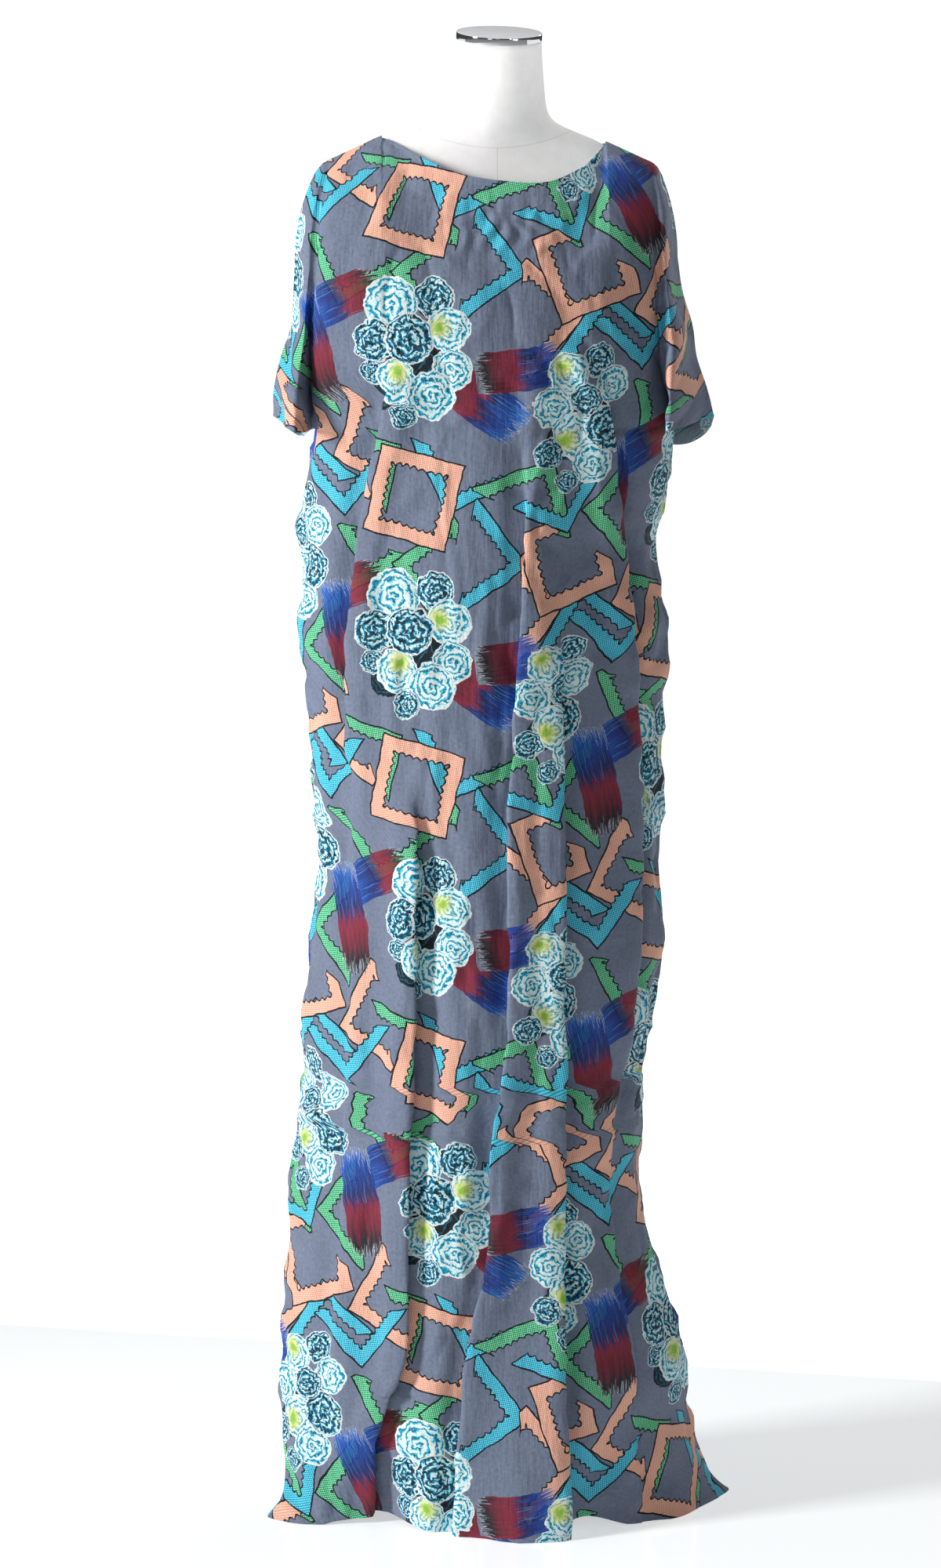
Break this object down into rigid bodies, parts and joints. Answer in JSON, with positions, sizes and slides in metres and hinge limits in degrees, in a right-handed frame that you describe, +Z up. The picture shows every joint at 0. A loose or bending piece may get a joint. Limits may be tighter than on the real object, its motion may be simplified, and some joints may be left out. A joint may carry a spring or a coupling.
{
  "type": "bati dress on a limbless dress form",
  "caption": "Long loose printed bati dress with short cut-in sleeves, a wide round neck and a floor-length hem, worn on a linen-covered limbless dress form on a stand.",
  "frame": {"origin": "on the floor under the middle of the part's outline", "axes": "+Z up, the dress's front faces -Y, +X to the right as seen from the front"},
  "size_m": [0.5546, 0.3166, 1.7521],
  "materials": {
    "printed_cloth": "soft plain-woven rayon with an all-over print on slate grey, matt with a slight sheen",
    "form_cover": "tight off-white linen",
    "chrome": "polished",
    "stand_metal": "satin"
  },
  "bodies": {
    "root": {"front": "printed_cloth", "back": "printed_cloth", "form_torso": "form_cover", "neck_cap": "chrome", "pole": "stand_metal", "base": "stand_metal"}
  },
  "joints": []
}
